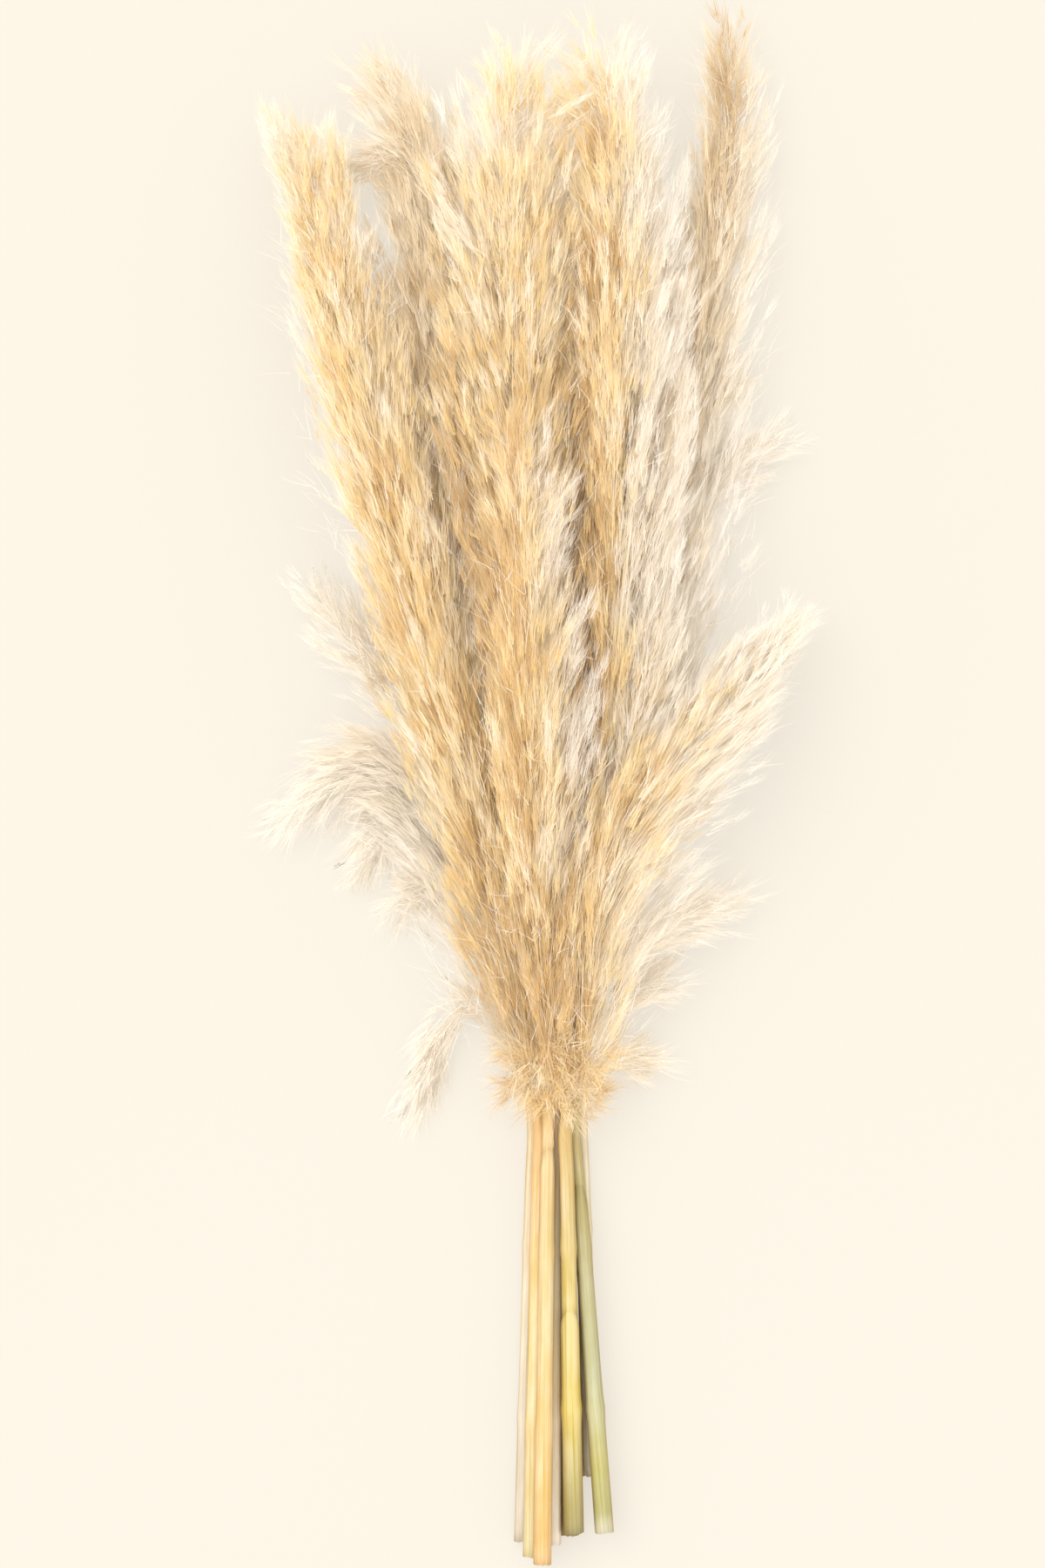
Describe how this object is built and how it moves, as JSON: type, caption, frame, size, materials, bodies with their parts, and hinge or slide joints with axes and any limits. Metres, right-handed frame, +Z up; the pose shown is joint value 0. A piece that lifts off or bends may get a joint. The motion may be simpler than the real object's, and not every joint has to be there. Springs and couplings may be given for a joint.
{
  "type": "bundle of pampas grass",
  "caption": "Loose bundle of dried pampas grass stalks lying flat: slim straight stems fanning into long feathery plumes.",
  "frame": {"origin": "on the surface that the bundle lies on, under the middle of its box", "axes": "+Y along the bundle from the cut ends to the plume tips, +Z up, +X to the right seen from above with the tips away from the viewer"},
  "size_m": [0.2688, 0.753, 0.1011],
  "materials": {
    "culm_straw": "smooth dry straw, faint lengthwise lines",
    "culm_cream": "smooth pale straw, faint lengthwise lines",
    "culm_olive": "smooth dry stem still greenish, faint lengthwise lines",
    "plume_golden": "silky hairs, matt with a soft sheen",
    "plume_brown": "silky hairs, matt with a soft sheen",
    "plume_pale": "fine white silky hairs, nearly see-through"
  },
  "bodies": {
    "root": {"stem_left_low": "culm_cream", "stem_left_back": "culm_straw", "stem_centre_back": "culm_olive", "stem_right_back": "culm_cream", "stem_left": "culm_straw", "stem_centre_mid": "culm_cream", "stem_right": "culm_olive", "stem_centre": "culm_straw", "stem_right_low": "culm_olive", "plume_left_low": "plume_pale", "plume_left_back": "plume_brown", "plume_centre_back": "plume_brown", "plume_right_back": "plume_brown", "plume_left": "plume_golden", "plume_centre_mid": "plume_golden", "plume_right": "plume_golden", "plume_centre": "plume_golden", "plume_right_low": "plume_golden"}
  },
  "joints": []
}
